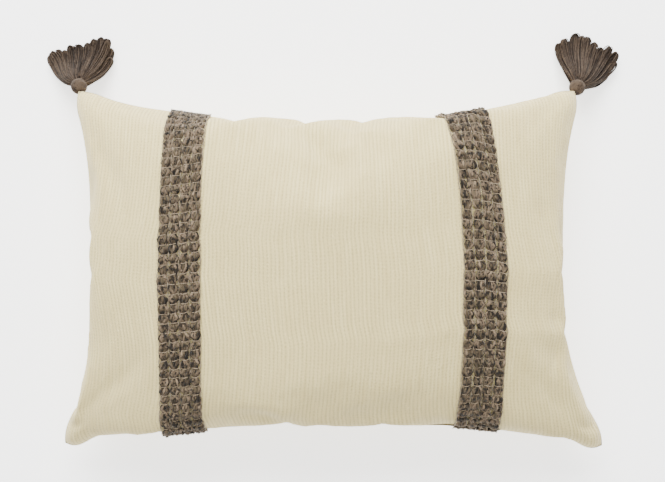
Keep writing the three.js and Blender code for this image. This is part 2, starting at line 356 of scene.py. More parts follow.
def coverHalf(name, base, side, ribColumns, rows, rng):
    columns = ribColumns * cover["ribs"] + 1
    rowPlaces = np.linspace(0, base.shape[0] - 1, rows)
    columnPlaces = np.linspace(0, base.shape[1] - 1, columns)
    grid = resampled(base, rowPlaces, columnPlaces)
    u = np.linspace(-1, 1, columns)
    v = np.linspace(-1, 1, rows)
    s, t = np.meshgrid(u * cover["flatWidth"] / 2, v * cover["flatHeight"] / 2)
    normal = side * normalsOf(grid)
    edge = np.minimum(cover["flatWidth"] / 2 - np.abs(s), cover["flatHeight"] / 2 - np.abs(t))
    relief = ribRelief(rng, s, t) + seamPucker(rng, s, t) - cornerCrease(s, t)
    relief *= 1 - relaxedUnderStripe(s, t) * (1 if side > 0 else 0)
    fade = smooth(0, 0.004, edge)
    grid = grid + normal * (relief * fade - 0.3 * mm * (1 - fade))[..., None]
    grid[..., 2] += side * lipGap(grid[..., 0], v[:, None])
    grid[..., 2] = np.maximum(grid[..., 2], 0.4 * mm + (0.3 * mm - relief * fade if side < 0 else 0))
    uv = np.stack([s / cover["flatWidth"] + 0.5, t / cover["flatHeight"] + 0.5], axis=-1)
    grid, uv = withAllowance(grid, uv, side)
    quads = gridFaces(grid.shape[0], grid.shape[1], flip=side < 0)
    return newObject(name, meshFrom(name, grid, quads, uv))


def relaxedUnderStripe(s, t):
    under = np.zeros_like(s)
    for stripe in stripes.values():
        away = np.abs(s - stripeCentre(stripe, t))
        under = np.maximum(under, 1 - smooth(0.016, 0.019, away))
    return under


def withAllowance(grid, uv, side):
    # Adds the cloth that turns in behind the seam. Along the zip it turns back up the cloth's inside.
    grid = np.pad(grid, ((2, 2), (2, 2), (0, 0)), mode="edge")
    uv = np.pad(uv, ((2, 2), (2, 2), (0, 0)), mode="edge")
    half = zipper["halfLength"]
    byZip = 1 - smooth(half + 4 * mm, half + 14 * mm, np.abs(grid[0, :, 0]))
    lean = 1 - smooth(0, 0.05, (0.5 - np.abs(uv[0, :, 0] - 0.5)) * cover["flatWidth"])
    lean = lean * np.sign(0.5 - uv[0, :, 0])  # near a corner the cloth turns in towards the middle
    leanUp = 1 - smooth(0, 0.05, (0.5 - np.abs(uv[:, 0, 1] - 0.5)) * cover["flatHeight"])
    leanUp = leanUp * np.sign(0.5 - uv[:, 0, 1])
    for step, reach, thick in ((1, 1.2 * mm, 0.25 * mm), (0, cover["allowance"], 0)):
        last = -1 - step
        grid[step, :, 1] += reach + (1.0 * mm - reach) * byZip
        grid[step, :, 2] += side * byZip * (1.5 * mm if step else cover["allowance"])
        grid[last, :, 1] -= reach
        grid[:, step, 0] += reach
        grid[:, last, 0] -= reach
        for line in (grid[step], grid[last]):
            line[:, 0] += reach * lean
        for line in (grid[:, step], grid[:, last]):
            line[:, 1] += reach * leanUp
        for line in (grid[step], grid[last], grid[:, step], grid[:, last]):
            line[:, 2] -= side * thick
    return grid, uv


# middle is a stripe's place across the laid-down pillow, with its drift to each end.
stripes = {
    "left": {"middle": -0.1277, "up": 0.0025, "down": -0.0015},
    "right": {"middle": 0.1350, "up": -0.0195, "down": -0.0015},
}
stripe = {
    "columns": 4,
    "pitch": 9.8 * mm,
    "padPitch": 8.7 * mm,
    "strands": 9,
    "halfWidth": 4.25 * mm,
    "halfHeight": 1.8 * mm,
    "strandRadius": 1.0 * mm,
}


class Surface:
    # Points and normals of a cover half, read at flat places on its cloth.
    def __init__(self, base, side):
        rows, columns = 261, 373
        down, across = np.linspace(0, base.shape[0] - 1, rows), np.linspace(0, base.shape[1] - 1, columns)
        self.grid = resampled(base, down, across)
        self.normal = side * normalsOf(self.grid)
        self.side = side

    def at(self, s, t, height=0.0):
        rows, columns = self.grid.shape[:2]
        i = np.clip((s / cover["flatWidth"] + 0.5) * (columns - 1), 0, columns - 1.001)
        j = np.clip((t / cover["flatHeight"] + 0.5) * (rows - 1), 0, rows - 1.001)
        i0, j0 = i.astype(int), j.astype(int)
        a, b = (i - i0)[..., None], (j - j0)[..., None]

        def mixed(g):
            low = g[j0, i0] * (1 - a) + g[j0, i0 + 1] * a
            high = g[j0 + 1, i0] * (1 - a) + g[j0 + 1, i0 + 1] * a
            return low * (1 - b) + high * b

        found = mixed(self.grid) + mixed(self.normal) * np.asarray(height)[..., None]
        found[..., 2] += self.side * lipGap(found[..., 0], 2 * t / cover["flatHeight"])
        return found

    def flatAcross(self, x, t):
        # The flat place across the cloth that lies at x, on the line up the cloth at t.
        rows, columns = self.grid.shape[:2]
        lines = np.clip((t / cover["flatHeight"] + 0.5) * (rows - 1), 0, rows - 1).astype(int)
        places = np.linspace(-0.5, 0.5, columns) * cover["flatWidth"]
        return np.array([np.interp(x0, self.grid[j, :, 0], places) for x0, j in zip(x, lines)])


def layOut(which, surface):
    # Finds the stripe's middle line on the flat cloth.
    v = np.linspace(-1, 1, 61)
    x = which["middle"] + which["up"] * np.maximum(v, 0) ** 1.6 + which["down"] * smooth(0.2, 1, -v)
    t = v * cover["flatHeight"] / 2
    s = surface.flatAcross(x, t)
    for _ in range(4):
        s[1:-1] = (s[:-2] + 2 * s[1:-1] + s[2:]) / 4
    which["line"] = (t, s)


def stripeCentre(which, t):
    return np.interp(t, *which["line"])


def wander(rng, t, steps, size):
    half = cover["flatHeight"] / 2
    return size * np.interp(t, np.linspace(-half, half, steps), rng.uniform(-1, 1, steps))


def padShape(t):
    # 1 in the middle of a pad and 0 at the tie thread on each side of it.
    place = (t + cover["flatHeight"] / 2) / stripe["padPitch"]
    return np.abs(np.sin(math.pi * place)) ** 0.6


def yarnColumn(rng, surface, which, index):
    # One thick soft yarn: its strands spread out in every pad and are pinched by every tie.
    offset = (index - (stripe["columns"] - 1) / 2) * stripe["pitch"]
    half = cover["flatHeight"] / 2
    pads = int(2 * half / stripe["padPitch"])
    t = np.linspace(-half + 0.3 * mm, half - 0.3 * mm, pads * 9 + 1)
    pad = np.clip(((t + half) / stripe["padPitch"]).astype(int), 0, pads)
    padMiddles = -half + (np.arange(pads + 1) + 0.5) * stripe["padPitch"]
    pinch = padShape(t)
    padSize = rng.uniform(0.94, 1.06, pads + 1)[pad]
    drift = wander(rng, t, 24, 0.35 * mm)
    count = stripe["strands"]
    order = np.array([rng.permutation(count) for _ in range(pads + 1)])
    strands = []
    for strand in range(count):
        # Even strands make the pad's outline and odd ones fill it, each pad in its own order
        turn = 2 * math.pi * (order[:, strand] + rng.uniform(-0.25, 0.25, pads + 1)) / count
        ring = np.where(order[:, strand] % 3 == 2, 0.45, 1.0)
        side = np.interp(t, padMiddles, ring * np.cos(turn))
        rise = np.interp(t, padMiddles, ring * np.sin(turn))
        across = stripe["halfWidth"] * side * (0.82 + 0.18 * pinch) * padSize
        low = 0.2 + 0.8 * smooth(0, 14 * mm, half - np.abs(t))
        height = 0.6 * mm + stripe["halfHeight"] * (0.45 + 0.55 * pinch) * (1 + rise) * padSize * low
        s = stripeCentre(which, t) + offset + drift + across
        thick = stripe["strandRadius"] * (0.8 + 0.3 * pinch) * rng.uniform(0.85, 1.15)
        mood = rng.uniform(0.3, 1, pads * 2 + 2) * (rng.uniform(0, 1, pads * 2 + 2) > 0.2)
        tint = np.interp(t, np.linspace(-half, half, pads * 2 + 2), mood)
        strands.append((surface.at(s, t, height), thick, tint))
    return strands


def tieThreads(rng, surface, which):
    # Thin cream threads over the yarn at each pinch, and upright ones between the columns.
    half = cover["flatHeight"] / 2
    width = stripe["columns"] * stripe["pitch"]
    pads = int(2 * half / stripe["padPitch"])
    strands = []
    for n in range(1, pads + 1):
        t0 = -half + n * stripe["padPitch"]
        if abs(t0) > half - 1 * mm:
            continue
        a = np.linspace(-0.5, 0.5, 49)
        column = a * stripe["columns"] + stripe["columns"] / 2
        over = np.abs(np.sin(math.pi * column)) ** 0.6
        t = t0 + 0.3 * mm * np.sin(a * 21 + rng.uniform(0, 6)) - 1.1 * mm * (over - 0.5)
        t = np.clip(t, -half, half)
        s = stripeCentre(which, t) + a * (width + 0.8 * mm)
        height = 0.3 * mm + 3.3 * mm * over
        strands.append((surface.at(s, t, height), 0.3 * mm, rng.uniform(0, 1)))
    for gap in range(stripe["columns"] + 1):
        t = np.linspace(-half + 0.5 * mm, half - 0.5 * mm, pads * 6)
        wave = 0.3 * mm * np.sin(t / 0.0021 + rng.uniform(0, 6))
        s = stripeCentre(which, t) + (gap - stripe["columns"] / 2) * stripe["pitch"] + wave
        lift = 1.9 * mm + 0.6 * mm * np.cos(2 * math.pi * (t + half) / stripe["padPitch"])
        strands.append((surface.at(s, t, lift), 0.40 * mm, rng.uniform(0, 1)))
    return strands


# Each lobe of a skirt: its bearing from +Y, clockwise in degrees, and its reach in millimetres.
leftLobes = [(-48, 48), (-42, 49), (-35, 47), (-29, 43), (-19, 45), (-8, 44)]
leftLobes += [(4, 46), (11, 50), (17, 54), (25, 54), (33, 48), (40, 41)]
rightLobes = [(-15, 48), (-8, 51), (4, 56), (11, 54), (17, 55), (26, 52)]
rightLobes += [(36, 51), (42, 57), (50, 58), (57, 51), (64, 40)]
tassels = {
    "left": {"lobes": leftLobes, "headShift": (-1.1, -1.3, 0), "leftShoulder": 24, "rightShoulder": 16},
    "right": {"lobes": rightLobes, "headShift": (-0.8, -1.9, 0), "leftShoulder": 15, "rightShoulder": 21},
}
tassel = {
    "strandRadius": 0.42 * mm,
    "loopsInLobe": 32,
    "lobeHalfWidth": 3.8 * mm,
    "headRadius": 7.0 * mm,
    "threads": 58,
    "rootHeight": 24 * mm,
    "rootThickness": 15 * mm,
    "tipHeight": 7 * mm,
    "tipThickness": 9 * mm,
    "knot": {"radius": 1.9 * mm, "turns": 3, "pitch": 0.7 * mm, "thick": 0.45 * mm},
    "wrap": {"radius": 4.5 * mm, "turns": 6, "pitch": 0.75 * mm, "thick": 0.45 * mm},
    "ring": {"radius": 1.35 * mm, "turns": 1.02, "pitch": 0, "thick": 0.5 * mm},
}
xAxis = np.array([1.0, 0, 0])


def nodeMiddle(node):
    low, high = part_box(node)
    return (np.array(low) + np.array(high)) / 2


def polar(centre, bearing, reach):
    angle = math.radians(bearing)
    return centre[:2] + reach * np.array([math.sin(angle), math.cos(angle)])


def skirtLoop(rng, which, centre, bearing, reach, spread, layers):
    # One loop of yarn: out from under the head, round the lobe's tip, and back.
    steps = 17
    out = 1 - (1 - np.linspace(0, 1, steps)) ** 1.7
    q = np.concatenate([out, out[-2::-1]])
    hand = np.concatenate([np.ones(steps), -np.ones(steps - 1)])
    shoulder = which["leftShoulder"] if bearing < 0 else which["rightShoulder"]
    turned = max(-84, min(84, bearing * 1.7 + rng.uniform(-4, 4)))
    points = [
        polar(centre, bearing * 1.2, 4.0 * mm),
        polar(centre, turned, (shoulder - rng.uniform(0, 2)) * mm),
        polar(centre, bearing * 1.1 + rng.uniform(-2, 2), 0.64 * reach),
        polar(centre, bearing, reach),
    ]
    p = 1 - q[:, None]
    r = q[:, None]
    plan = p**3 * points[0] + 3 * p**2 * r * points[1] + 3 * p * r**2 * points[2] + r**3 * points[3]
    slope = np.gradient(plan[:steps], axis=0)
    slope = np.concatenate([slope, slope[-2::-1]])
    slope /= np.linalg.norm(slope, axis=1, keepdims=True)
    roundTip = np.sqrt(1 - np.clip((q - 0.86) / 0.14, 0, 1) ** 2)
    away = hand * spread * (0.3 + 0.7 * smooth(0.05, 0.75, q)) * roundTip
    away = away + 0.4 * mm * np.sin(q * rng.uniform(5, 9) + rng.uniform(0, 6)) * q
    plan = plan + np.stack([slope[:, 1], -slope[:, 0]], axis=1) * away[:, None]
    distance = np.linalg.norm(plan - centre[:2], axis=1)
    fall = smooth(6 * mm, 0.85 * reach, distance)
    layer = layers[0] + (layers[1] - layers[0]) * np.linspace(0, 1, len(q))
    root = tassel["rootHeight"] + tassel["rootThickness"] * layer
    tip = tassel["tipHeight"] + tassel["tipThickness"] * layer
    z = np.maximum(root + (tip - root) * fall, 0.9 * mm)
    return np.column_stack([plan, z]), tassel["strandRadius"] * rng.uniform(0.85, 1.15), rng.uniform(0, 1)


def skirtStrands(rng, which, centre):
    lobes = which["lobes"]
    strands = []
    for number, (bearing, reach) in enumerate(lobes):
        height = 0.15 if number % 2 else 0.0
        for _ in range(tassel["loopsInLobe"]):
            size = rng.uniform(0.08, 1)
            layers = height + rng.uniform(-0.35, 0.4, 2)
            length = (reach - 2.5 * (1 - size) - rng.uniform(0, 1)) * mm
            lean = bearing + rng.uniform(-1.5, 1.5)
            spread = tassel["lobeHalfWidth"] * size
            strands.append(skirtLoop(rng, which, centre, lean, length, spread, layers))
    for (first, reachA), (second, reachB) in zip(lobes[:-1], lobes[1:]):
        for _ in range(10):
            length = (min(reachA, reachB) - rng.uniform(2, 6)) * mm
            layers = rng.uniform(-0.7, -0.3, 2)
            lean = (first + second) / 2 + rng.uniform(-3, 3)
            strands.append(skirtLoop(rng, which, centre, lean, length, rng.uniform(0.8, 3.2) * mm, layers))
    return strands


def axes(direction):
    along = direction / np.linalg.norm(direction)
    beside = np.cross(along, [0, 0, 1])
    beside /= np.linalg.norm(beside)
    return along, beside, np.cross(beside, along)


def headStrands(rng, centre, pivot):
    # Yarn drawn over the knot from the cord's end to the neck, and cinched where the cord leaves.
    along, beside, over = axes(centre - pivot)
    fromCord = np.linspace(math.radians(8), math.radians(168), 19)
    strands = []
    for thread in range(tassel["threads"]):
        turn = 2 * math.pi * thread / tassel["threads"] + 0.10 * np.sin(fromCord * 2)
        radius = tassel["headRadius"] * (1 + rng.uniform(-0.015, 0.015))
        ring = radius * np.sin(fromCord)
        step = -radius * np.cos(fromCord) * (1 + 0.14 * smooth(0.4, 1, np.cos(fromCord)))
        side = beside * np.cos(turn)[:, None] + over * np.sin(turn)[:, None]
        line = centre + along * step[:, None] + side * ring[:, None]
        strands.append((line, 0.6 * mm * (0.35 + 0.65 * np.sin(fromCord)), rng.uniform(0.75, 1)))
    return strands


def woundStrand(start, direction, winding, tint=0.5):
    along, beside, over = axes(direction)
    turns = winding["turns"]
    angle = np.linspace(0, 2 * math.pi * turns, int(turns * 16) + 1)
    side = beside * np.cos(angle)[:, None] + over * np.sin(angle)[:, None]
    rise = angle * winding["pitch"] / (2 * math.pi)
    return start + along * rise[:, None] + side * winding["radius"], winding["thick"], tint


def yarnTree():
    tree = bpy.data.node_groups.new("yarn", "GeometryNodeTree")
    inputs = {
        "Strands": "Geometry",
        "Sides": "Int",
        "Fuzz density": "Float",
        "Fuzz length": "Float",
        "Fuzz radius": "Float",
        "Seed": "Int",
        "Material": "Material",
    }
    for label, kind in inputs.items():
        tree.interface.new_socket(label, in_out="INPUT", socket_type="NodeSocket" + kind)
    tree.interface.new_socket("Yarn", in_out="OUTPUT", socket_type="NodeSocketGeometry")
    nodes, link = tree.nodes, tree.links.new

    def put(kind, inputs, **settings):
        # Adds a node. An input is either a socket to be linked or a plain value.
        made = nodes.new(kind)
        for key, value in settings.items():
            setattr(made, key, value)
        for socket, value in inputs.items():
            if isinstance(value, bpy.types.NodeSocket):
                link(value, made.inputs[socket])
            else:
                made.inputs[socket].default_value = value
        return made.outputs

    given = nodes.new("NodeGroupInput").outputs
    seed = given["Seed"]
    thick = put("GeometryNodeInputNamedAttribute", {"Name": "thick"}, data_type="FLOAT")["Attribute"]
    curve = put("GeometryNodeMeshToCurve", {0: given["Strands"]})[0]
    ring = put("GeometryNodeCurvePrimitiveCircle", {"Radius": 1, "Resolution": given["Sides"]})[0]
    parts = {"Curve": curve, "Profile Curve": ring, "Scale": thick, "Fill Caps": True}
    tube = put("GeometryNodeCurveToMesh", parts)[0]

    # A bent hair that stands on the tube
    parts = {"Resolution": 3, "Start": (0, 0, -0.1), "Middle": (0.1, 0, 0.6), "End": (0.7, 0.2, 0.9)}
    hairLine = put("GeometryNodeCurveQuadraticBezier", parts)[0]
    parts = {"Resolution": 3, "Radius": given["Fuzz radius"]}
    hairRing = put("GeometryNodeCurvePrimitiveCircle", parts)[0]
    hair = put("GeometryNodeCurveToMesh", {"Curve": hairLine, "Profile Curve": hairRing})[0]

    parts = {"Mesh": tube, "Density": given["Fuzz density"], "Seed": seed}
    scatter = put("GeometryNodeDistributePointsOnFaces", parts)
    size = put("FunctionNodeRandomValue", {2: 0.4, 3: 1.2, "Seed": seed})[1]
    length = put("ShaderNodeMath", {0: size, 1: given["Fuzz length"]}, operation="MULTIPLY")[0]
    parts = {"Points": scatter["Points"], "Rotation": scatter["Rotation"], "Instance": hair, "Scale": length}
    hairs = put("GeometryNodeInstanceOnPoints", parts)[0]
    parts = {0: (-0.9, -0.9, -3.1), 1: (0.9, 0.9, 3.1), "Seed": seed}
    angle = put("FunctionNodeRandomValue", parts, data_type="FLOAT_VECTOR")[0]
    spun = put("GeometryNodeRotateInstances", {"Instances": hairs, "Rotation": angle})[0]

    joined = put("GeometryNodeJoinGeometry", {0: spun})[0]
    link(tube, joined.node.inputs[0])
    real = put("GeometryNodeRealizeInstances", {0: joined})[0]
    smoothed = put("GeometryNodeSetShadeSmooth", {0: real})[0]
    dressed = put("GeometryNodeSetMaterial", {0: smoothed, "Material": given["Material"]})[0]
    link(dressed, nodes.new("NodeGroupOutput").inputs[0])
    return tree


def strandMesh(name, strands):
    points, thick, tint, edges, start = [], [], [], [], 0
    for line, radius, shade in strands:
        count = len(line)
        points.append(line)
        thick.append(np.broadcast_to(radius, count))
        tint.append(np.broadcast_to(shade, count))
        first = np.arange(start, start + count - 1)
        edges.append(np.stack([first, first + 1], axis=1))
        start += count
    mesh = bpy.data.meshes.new(name)
    mesh.from_pydata(np.concatenate(points).tolist(), np.concatenate(edges).tolist(), [])
    for label, values in (("thick", thick), ("tint", tint)):
        made = mesh.attributes.new(label, "FLOAT", "POINT")
        made.data.foreach_set("value", np.concatenate(values).astype(np.float32))
    return mesh


def yarn(name, strands, material, sides=6, fuzz=0.0, fuzzLength=1.2 * mm, fuzzRadius=0.05, seed=1):
    # fuzz is hairs to the square metre of yarn. fuzzRadius is a hair's radius over its length.
    piece = newObject(name, strandMesh(name, strands))
    modifier = piece.modifiers.new("yarn", "NODES")
    modifier.node_group = trees["yarn"]
    values = {
        "Sides": sides,
        "Fuzz density": fuzz,
        "Fuzz length": fuzzLength,
        "Fuzz radius": fuzzRadius,
        "Seed": seed,
        "Material": material,
    }
    for item in trees["yarn"].interface.items_tree:
        if item.in_out == "INPUT" and item.name in values:
            modifier[item.identifier] = values[item.name]
    return plain(piece)


def plain(piece):
    # Swaps a piece's modifiers for the mesh that they make.
    bpy.context.view_layer.update()
    now = bpy.context.evaluated_depsgraph_get()
    mesh = bpy.data.meshes.new_from_object(
        piece.evaluated_get(now), preserve_all_data_layers=True, depsgraph=now
    )
    piece.modifiers.clear()
    piece.data = mesh
    print(piece.name, sum(len(p.vertices) - 2 for p in mesh.polygons), "triangles")
    return piece


trees = {"yarn": yarnTree()}


def newMaterial(name, roughness=0.9, sheen=0.3):
    material = bpy.data.materials.new(name)
    material.use_nodes = True
    shader = material.node_tree.nodes["Principled BSDF"]
    shader.inputs["Roughness"].default_value = roughness
    shader.inputs["Sheen Weight"].default_value = sheen
    shader.inputs["Sheen Roughness"].default_value = 0.5
    shader.inputs["Specular IOR Level"].default_value = 0.2
    return material, material.node_tree.nodes, material.node_tree.links.new, shader


def mathNode(nodes, link, operation, a, b=None, c=None):
    made = nodes.new("ShaderNodeMath")
    made.operation = operation
    for socket, value in zip(made.inputs, (a, b, c)):
        if value is None:
            continue
        if isinstance(value, (int, float)):
            socket.default_value = value
        else:
            link(value, socket)
    return made.outputs[0]


def mixColours(nodes, link, factor, a, b, blend="MIX"):
    made = nodes.new("ShaderNodeMix")
    made.data_type = "RGBA"
    made.blend_type = blend
    for socket, value in ((made.inputs[0], factor), (made.inputs[6], a), (made.inputs[7], b)):
        if isinstance(value, (int, float)):
            socket.default_value = value
        elif isinstance(value, tuple):
            socket.default_value = (*value, 1)
        else:
            link(value, socket)
    return made.outputs[2]


def noiseNode(nodes, link, vector, scale, detail=2.0, roughness=0.5):
    made = nodes.new("ShaderNodeTexNoise")
    made.inputs["Scale"].default_value = scale
    made.inputs["Detail"].default_value = detail
    made.inputs["Roughness"].default_value = roughness
    link(vector, made.inputs["Vector"])
    return made.outputs["Fac"]


def rampNode(nodes, link, value, low, high):
    made = nodes.new("ShaderNodeMapRange")
    made.interpolation_type = "SMOOTHSTEP"
    made.inputs["From Min"].default_value = low
    made.inputs["From Max"].default_value = high
    link(value, made.inputs["Value"])
    return made.outputs["Result"]


def addBump(nodes, link, shader, height, strength, distance):
    bump = nodes.new("ShaderNodeBump")
    bump.inputs["Strength"].default_value = strength
    bump.inputs["Distance"].default_value = distance
    link(height, bump.inputs["Height"])
    link(bump.outputs[0], shader.inputs["Normal"])


def clothMaterial(name, pale, deep):
    # Ribbed hand weave, in millimetres of flat cloth.
    material, nodes, link, shader = newMaterial(name, 0.93, 0.25)
    uv = nodes.new("ShaderNodeUVMap")
    uv.uv_map = "weave"
    flat = nodes.new("ShaderNodeVectorMath")
    flat.operation = "MULTIPLY"
    flat.inputs[1].default_value = (cover["flatWidth"] * 1000, cover["flatHeight"] * 1000, 1)
    link(uv.outputs[0], flat.inputs[0])
    parts = nodes.new("ShaderNodeSeparateXYZ")
    link(flat.outputs[0], parts.inputs[0])
    s, t = parts.outputs[0], parts.outputs[1]

    def stretched(x, y):
        made = nodes.new("ShaderNodeVectorMath")
        made.operation = "MULTIPLY"
        made.inputs[1].default_value = (x, y, 1)
        link(flat.outputs[0], made.inputs[0])
        return made.outputs[0]

    def calc(operation, *values):
        return mathNode(nodes, link, operation, *values)

    def noise(x, y, detail):
        return noiseNode(nodes, link, stretched(x, y), 1.0, detail)

    def wave(value, pitch):
        return calc("SINE", calc("MULTIPLY", value, 2 * math.pi / pitch))

    def hump(value):
        return calc("MULTIPLY_ADD", calc("COSINE", value), 0.5, 0.5)

    # Streaks of paler thread, wide patches, and nubs
    colour = mixColours(nodes, link, rampNode(nodes, link, noise(0.55, 0.018, 3), 0.3, 0.7), deep, pale)
    darker = tuple(c * 0.94 for c in deep)
    colour = mixColours(nodes, link, rampNode(nodes, link, noise(0.02, 0.02, 3), 0.55, 0.9), colour, darker)
    nub = rampNode(nodes, link, noise(0.42, 0.3, 1), 0.66, 0.74)
    colour = mixColours(nodes, link, nub, colour, tuple(min(1, c * 1.1) for c in pale))

    # Grooves between the ribs, and the small holes along them, with painted shade darkening their colour
    ribPitch, holePitch = cover["ribPitch"] * 1000, 3.1
    sway = calc("MULTIPLY", noise(0.25, 0.12, 2), 9.0)
    across = calc("MULTIPLY_ADD", sway, 0.25, calc("MULTIPLY", s, 2 * math.pi / ribPitch))
    groove = calc("POWER", hump(across), 2.5)
    upward = calc("MULTIPLY_ADD", t, 2 * math.pi / holePitch, sway)
    hole = calc("MULTIPLY", groove, hump(upward))
    patchy = rampNode(nodes, link, noise(0.11, 0.11, 3), 0.3, 0.7)
    depth = calc("MULTIPLY_ADD", patchy, 0.55, 0.45)
    # A darker tan: painted shade for the grooves and holes, and also the darker tone of the fibre grain
    # below
    grooveShadeAndGrainTan = tuple(c * f for c, f in zip(deep, (0.70, 0.68, 0.62)))
    # Painted shade: the grooves are darkened towards the tan, and the holes along them more, by a patchy
    # amount
    colour = mixColours(nodes, link, calc("MULTIPLY", groove, 0.36), colour, grooveShadeAndGrainTan)
    colour = mixColours(nodes, link, calc("MULTIPLY", hole, depth), colour, grooveShadeAndGrainTan)

    # Single threads, and the grain of their fibre
    grain = noise(1.3, 0.8, 3)
    picks = calc("MULTIPLY", wave(t, 1.5), wave(s, ribPitch / 2))
    colour = mixColours(nodes, link, calc("MULTIPLY_ADD", grain, 2.2, -1.0), colour, grooveShadeAndGrainTan)
    link(colour, shader.inputs["Base Color"])
    height = calc("MULTIPLY_ADD", picks, 0.5, grain)
    for part, share in ((groove, -0.4), (hole, -1.1), (nub, 1.6)):
        height = calc("MULTIPLY_ADD", part, share, height)
    addBump(nodes, link, shader, height, 0.8, 0.32 * mm)
    link(calc("MULTIPLY_ADD", grain, 0.1, 0.86), shader.inputs["Roughness"])
    return material


def tintedYarn(name, shades, fleck, fleckShare, scale, bumpDistance=0.15 * mm, sheen=0.35):
    # Spun yarn: each strand takes a shade by its tint, and short flecks of another colour.
    material, nodes, link, shader = newMaterial(name, 0.95, sheen)
    tint = nodes.new("ShaderNodeAttribute")
    tint.attribute_name = "tint"
    where = nodes.new("ShaderNodeTexCoord").outputs["Object"]
    ramp = nodes.new("ShaderNodeValToRGB")
    ramp.color_ramp.interpolation = "EASE"
    points = ramp.color_ramp.elements
    while len(points) < len(shades):
        points.new(0.5)
    for place, (point, shade) in enumerate(zip(points, shades)):
        point.position = place / (len(shades) - 1)
        point.color = (*shade, 1)
    blotch = noiseNode(nodes, link, where, scale * 0.35, 2)
    mixed = mathNode(nodes, link, "MULTIPLY_ADD", blotch, 0.9, -0.45)
    mixed = mathNode(nodes, link, "ADD", mixed, tint.outputs["Fac"])
    link(mixed, ramp.inputs["Fac"])
    fine = noiseNode(nodes, link, where, scale, 3, 0.6)
    spots = rampNode(nodes, link, fine, 0.60 - fleckShare * 0.25, 0.70 - fleckShare * 0.25)
    colour = mixColours(nodes, link, spots, ramp.outputs[0], fleck)
    fibre = noiseNode(nodes, link, where, scale * 3, 2)
    shade = mathNode(nodes, link, "MULTIPLY_ADD", fibre, 0.7, 0.62)
    colour = mixColours(nodes, link, 1.0, colour, shadeColour(nodes, link, shade), "MULTIPLY")
    link(colour, shader.inputs["Base Color"])
    addBump(nodes, link, shader, fibre, 0.7, bumpDistance)
    rough = mathNode(nodes, link, "MULTIPLY_ADD", fibre, 0.12, 0.84)
    link(rough, shader.inputs["Roughness"])
    return material


def shadeColour(nodes, link, value):
    made = nodes.new("ShaderNodeCombineColor")
    for socket in made.inputs:
        link(value, socket)
    return made.outputs[0]


def tapeMaterial():
    # Woven zip tape, with its threads across.
    material, nodes, link, shader = newMaterial("zipTape", 0.8, 0.2)
    where = nodes.new("ShaderNodeTexCoord").outputs["Object"]
    wave = nodes.new("ShaderNodeTexWave")
    wave.inputs["Scale"].default_value = 260
    wave.inputs["Distortion"].default_value = 0.6
    link(where, wave.inputs["Vector"])
    colour = mixColours(nodes, link, wave.outputs[1], (0.62, 0.56, 0.43), (0.75, 0.69, 0.55))
    link(colour, shader.inputs["Base Color"])
    addBump(nodes, link, shader, wave.outputs[1], 1.0, 0.1 * mm)
    return material


def coilMaterial():
    material, nodes, link, shader = newMaterial("zipNylon", 0.42, 0)
    shader.inputs["Specular IOR Level"].default_value = 0.5
    where = nodes.new("ShaderNodeTexCoord").outputs["Object"]
    cloud = noiseNode(nodes, link, where, 300, 2)
    colour = mixColours(nodes, link, cloud, (0.60, 0.53, 0.40), (0.72, 0.66, 0.52))
    link(colour, shader.inputs["Base Color"])
    return material


def nickelMaterial():
    # Die-cast metal with a satin plating, slightly brushed by use.
    material, nodes, link, shader = newMaterial("zipNickel", 0.3, 0)
    shader.inputs["Metallic"].default_value = 1
    shader.inputs["Specular IOR Level"].default_value = 0.5
    where = nodes.new("ShaderNodeTexCoord").outputs["Object"]
    cloud = noiseNode(nodes, link, where, 420, 4, 0.6)
    colour = mixColours(nodes, link, cloud, (0.50, 0.48, 0.44), (0.66, 0.64, 0.60))
    link(colour, shader.inputs["Base Color"])
    link(mathNode(nodes, link, "MULTIPLY_ADD", cloud, 0.3, 0.2), shader.inputs["Roughness"])
    return material


materials = {
    "front": clothMaterial("ribbedCotton", (0.80, 0.68, 0.325), (0.71, 0.585, 0.26)),
    "back": clothMaterial("backCotton", (0.79, 0.67, 0.33), (0.69, 0.57, 0.26)),
    "wool": tintedYarn(
        "marledWool",
        [
            (0.0095, 0.0066, 0.0035),
            (0.0475, 0.032, 0.018),
            (0.0855, 0.0645, 0.0365),
            (0.128, 0.09, 0.057),
            (0.2, 0.147, 0.093),
        ],
        (0.010, 0.007, 0.004),
        fleckShare=0.36,
        scale=380,
        bumpDistance=0.15 * mm,
        sheen=0.12,
    ),
    "tie": tintedYarn(
        "tieThread",
        [(0.19, 0.145, 0.092), (0.29, 0.225, 0.15)],
        (0.12, 0.085, 0.055),
        fleckShare=0.1,
        scale=400,
        bumpDistance=0.08 * mm,
    ),
    "tassel": tintedYarn(
        "tasselYarn",
        [(0.012, 0.007, 0.004), (0.034, 0.0215, 0.0135), (0.075, 0.052, 0.035)],
        (0.012, 0.007, 0.004),
        fleckShare=0.14,
        scale=520,
        bumpDistance=0.1 * mm,
        sheen=0.06,
    ),
    "tape": tapeMaterial(),
    "coil": coilMaterial(),
    "nickel": nickelMaterial(),
}


print("stuffing the cloth")
rng = np.random.default_rng(7)
frontRaw, backRaw = stuffedCloth()
edgeRaw = frontRaw.copy()
frontBase = fitted(frontRaw, edgeRaw, 1)
backBase = fitted(backRaw, edgeRaw, -1)
frontSurface = Surface(frontBase, 1)
for which in stripes.values():
    layOut(which, frontSurface)

print("weaving the cover")
coverPieces = {
    "front": coverHalf("cover_front_cloth", frontBase, 1, 5, 127, rng),
    "back": coverHalf("cover_back_cloth", backBase, -1, 4, 110, rng),
}
for key, node in (("front", "cover_front"), ("back", "cover_back")):
    piece = coverPieces[key]
    piece.data.materials.append(materials[key])
    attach(piece, "pillow")
    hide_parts(node)

